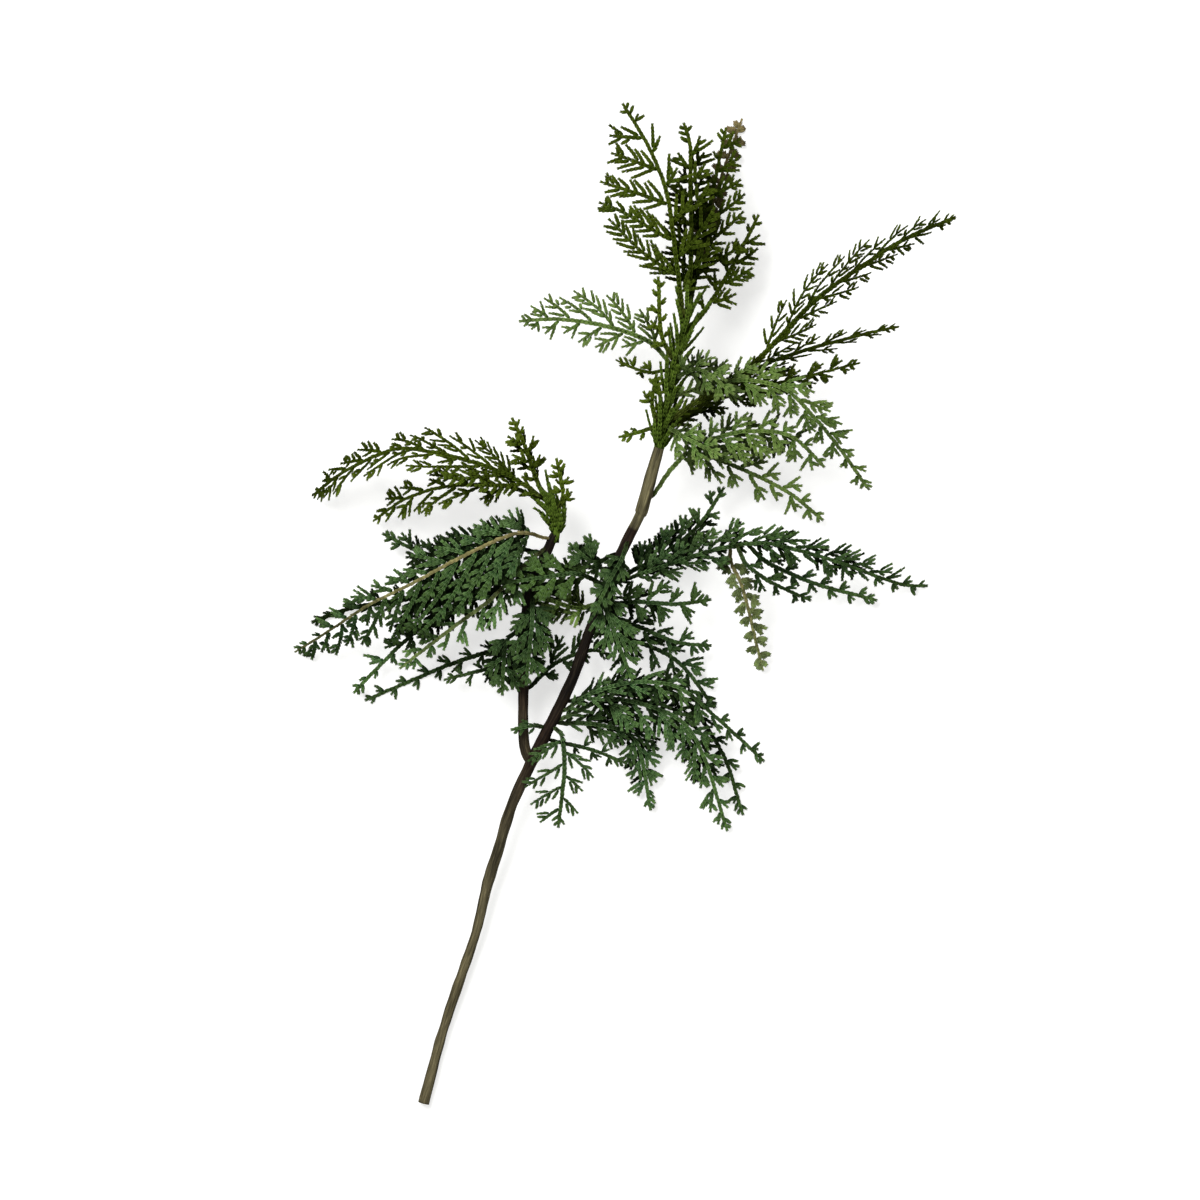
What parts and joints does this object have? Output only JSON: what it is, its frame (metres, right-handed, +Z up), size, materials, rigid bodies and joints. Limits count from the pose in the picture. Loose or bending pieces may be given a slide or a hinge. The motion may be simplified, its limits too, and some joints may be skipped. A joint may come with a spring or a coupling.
{
  "type": "thuja sprig",
  "caption": "Cut thuja sprig lying flat: a forked woody stem with two green shoots and arching fern-like sprays of scale leaves.",
  "frame": {"origin": "on the surface the sprig lies on, under the middle of its outline", "axes": "+Y from the cut end of the stem to the crown, +Z up from the surface, +X to the right seen from above"},
  "size_m": [0.3319, 0.5013, 0.0715],
  "materials": {
    "bark": "dull streaked bark",
    "shoot": "green scale-covered shoot",
    "olive_leaf": "waxy olive scale leaves",
    "bright_leaf": "waxy bright green scale leaves",
    "deep_leaf": "waxy deep green scale leaves",
    "straw_leaf": "dry straw-coloured twig"
  },
  "bodies": {
    "root": {"centre_back": "bright_leaf", "centre_cap": "deep_leaf", "centre_front": "deep_leaf", "centre_left": "deep_leaf", "centre_upright": "deep_leaf", "crown_centre": "olive_leaf", "crown_left": "olive_leaf", "crown_low": "olive_leaf", "crown_right": "olive_leaf", "crown_tan": "straw_leaf", "fork_cover": "deep_leaf", "fork_riser": "deep_leaf", "fork_twig": "deep_leaf", "heart_lower": "deep_leaf", "heart_middle": "deep_leaf", "heart_upper": "deep_leaf", "leader_apron": "bright_leaf", "leader_curl": "olive_leaf", "leader_face": "bright_leaf", "leader_front": "bright_leaf", "leader_shoot": "shoot", "leader_small": "olive_leaf", "leader_tuft": "olive_leaf", "leader_upright": "olive_leaf", "left_back": "deep_leaf", "left_dark": "deep_leaf", "left_fan": "deep_leaf", "left_fan_low": "deep_leaf", "left_fork": "deep_leaf", "left_hanging": "deep_leaf", "left_low": "deep_leaf", "left_twig": "deep_leaf", "left_under": "olive_leaf", "left_upper": "olive_leaf", "left_upright": "olive_leaf", "low_arch": "deep_leaf", "low_face": "deep_leaf", "low_front": "deep_leaf", "low_middle": "deep_leaf", "low_outer": "deep_leaf", "low_thin": "deep_leaf", "right_band": "deep_leaf", "right_droop": "bright_leaf", "right_hanging": "bright_leaf", "right_long": "olive_leaf", "right_low": "bright_leaf", "right_lower": "deep_leaf", "right_mid": "deep_leaf", "right_pale": "deep_leaf", "right_rise": "deep_leaf", "right_second": "olive_leaf", "right_third": "olive_leaf", "side_shoot": "shoot", "side_tuft": "olive_leaf", "woody_stem": "bark"}
  },
  "joints": []
}
